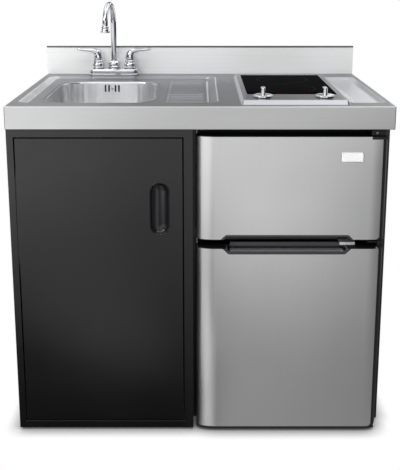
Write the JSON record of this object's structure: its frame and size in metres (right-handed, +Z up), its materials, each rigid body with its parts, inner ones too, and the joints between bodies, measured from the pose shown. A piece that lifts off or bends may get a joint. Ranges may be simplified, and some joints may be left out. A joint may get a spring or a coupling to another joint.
{
  "type": "kitchenette",
  "caption": "Compact kitchenette: stainless worktop with sink, gooseneck tap and glass hob over a black cabinet and a two-door fridge-freezer.",
  "frame": {"origin": "on the floor under the middle of the unit's width and depth", "axes": "+Z up, +X to the right and +Y to the back when seen from the front"},
  "size_m": [0.99, 0.625, 1.141],
  "materials": {
    "stainless": "fine brushed stainless steel",
    "door_steel": "smooth stainless-look coated steel",
    "chrome": "polished chrome plate",
    "brass": "plain machined brass",
    "hob_steel": "brushed steel trim",
    "hob_strip": "dark brushed steel",
    "black_glass": "black ceramic glass",
    "zinc_steel": "zinc-plated sheet",
    "black_steel": "satin black powder coat",
    "black_shell": "black coated sheet over foam",
    "black_plastic": "moulded black plastic",
    "black_gloss": "glossy black plastic",
    "white_plastic": "white vacuum-formed plastic",
    "clear_plastic": "clear moulded plastic",
    "shelf_glass": "clear toughened glass",
    "grey_rubber": "soft dark rubber",
    "drain_plastic": "black drain plastic",
    "red_lens": "red lamp lens",
    "ceramic_fibre": "pressed ceramic fibre dish"
  },
  "bodies": {
    "unit": {"worktop": "stainless", "backsplash": "stainless", "sink_bowl": "stainless", "strainer_body": "stainless", "faucet_base": "chrome", "valve_bonnets": "chrome", "spout_collar": "chrome", "drain_tailpiece": "chrome", "faucet_shanks": "brass", "faucet_locknuts": "brass", "strainer_locknut": "brass", "hob_frame": "hob_steel", "hob_panel": "hob_strip", "hob_glass": "black_glass", "hob_pan": "zinc_steel", "hob_clamps": "zinc_steel", "cabinet_left_side": "black_steel", "cabinet_partition": "black_steel", "cabinet_floor": "black_steel", "cabinet_back": "black_steel", "cabinet_face_frame": "black_steel", "cabinet_hinge_pins": "black_steel", "right_end_panel": "black_steel", "rear_rail": "black_steel", "door_hinges": "black_steel", "compressor": "black_steel", "fridge_shell": "black_shell", "hob_switches": "black_plastic", "magnetic_catch": "black_plastic", "compartment_liners": "white_plastic", "thermostat_housing": "white_plastic", "crisper_drawer": "clear_plastic", "fridge_shelves": "shelf_glass", "strainer_gasket": "grey_rubber", "levelling_feet": "grey_rubber", "overflow_housing": "drain_plastic", "indicator_lamps": "red_lens", "heating_elements": "ceramic_fibre"},
    "cabinet_door": {"cabinet_door": "black_steel", "cabinet_door_inner": "black_steel", "door_pull": "black_plastic"},
    "freezer_door": {"freezer_door_skin": "door_steel", "freezer_door_panel": "black_plastic", "freezer_door_grip": "black_gloss", "freezer_door_liner": "white_plastic", "freezer_door_gasket": "grey_rubber"},
    "fridge_door": {"fridge_door_skin": "door_steel", "fridge_door_panel": "black_plastic", "fridge_door_grip": "black_gloss", "fridge_door_liner": "white_plastic", "fridge_door_gasket": "grey_rubber", "door_bins": "clear_plastic"},
    "spout": {"spout": "chrome", "aerator": "chrome"},
    "hot_lever": {"hot_lever": "chrome"},
    "cold_lever": {"cold_lever": "chrome"},
    "left_knob": {"left_knob": "chrome"},
    "right_knob": {"right_knob": "chrome"},
    "strainer_basket": {"strainer_basket": "stainless"},
    "thermostat_knob": {"thermostat_knob": "white_plastic"}
  },
  "joints": [
    {"name": "cabinet_door_swing", "type": "hinge", "parent": "unit", "child": "cabinet_door", "pos_m": [-0.468, -0.2965, 0.4245], "axis": [0, 0, -1], "range_deg": [0, 105]},
    {"name": "freezer_door_swing", "type": "hinge", "parent": "unit", "child": "freezer_door", "pos_m": [0.4685, -0.292, 0.689], "axis": [0, 0, 1], "range_deg": [0, 110]},
    {"name": "fridge_door_swing", "type": "hinge", "parent": "unit", "child": "fridge_door", "pos_m": [0.4685, -0.292, 0.2705], "axis": [0, 0, 1], "range_deg": [0, 110]},
    {"name": "spout_swivel", "type": "hinge", "parent": "unit", "child": "spout", "pos_m": [-0.275, 0.268, 0.95], "axis": [0, 0, 1], "range_deg": [-90, 90]},
    {"name": "hot_lever_turn", "type": "hinge", "parent": "unit", "child": "hot_lever", "pos_m": [-0.3258, 0.268, 0.96], "axis": [0, 0, 1], "range_deg": [0, 90]},
    {"name": "cold_lever_turn", "type": "hinge", "parent": "unit", "child": "cold_lever", "pos_m": [-0.2242, 0.268, 0.96], "axis": [0, 0, -1], "range_deg": [0, 90]},
    {"name": "left_knob_turn", "type": "hinge", "parent": "unit", "child": "left_knob", "pos_m": [0.1645, -0.231, 0.92], "axis": [0, 0, -1], "range_deg": [0, 270]},
    {"name": "right_knob_turn", "type": "hinge", "parent": "unit", "child": "right_knob", "pos_m": [0.3255, -0.231, 0.92], "axis": [0, 0, -1], "range_deg": [0, 270]},
    {"name": "basket_lift", "type": "slide", "parent": "unit", "child": "strainer_basket", "axis": [0, 0, 1], "range_m": [0, 0.06]},
    {"name": "thermostat_turn", "type": "hinge", "parent": "unit", "child": "thermostat_knob", "pos_m": [0.377, -0.108, 0.4815], "axis": [0, -1, 0], "range_deg": [0, 270]}
  ]
}
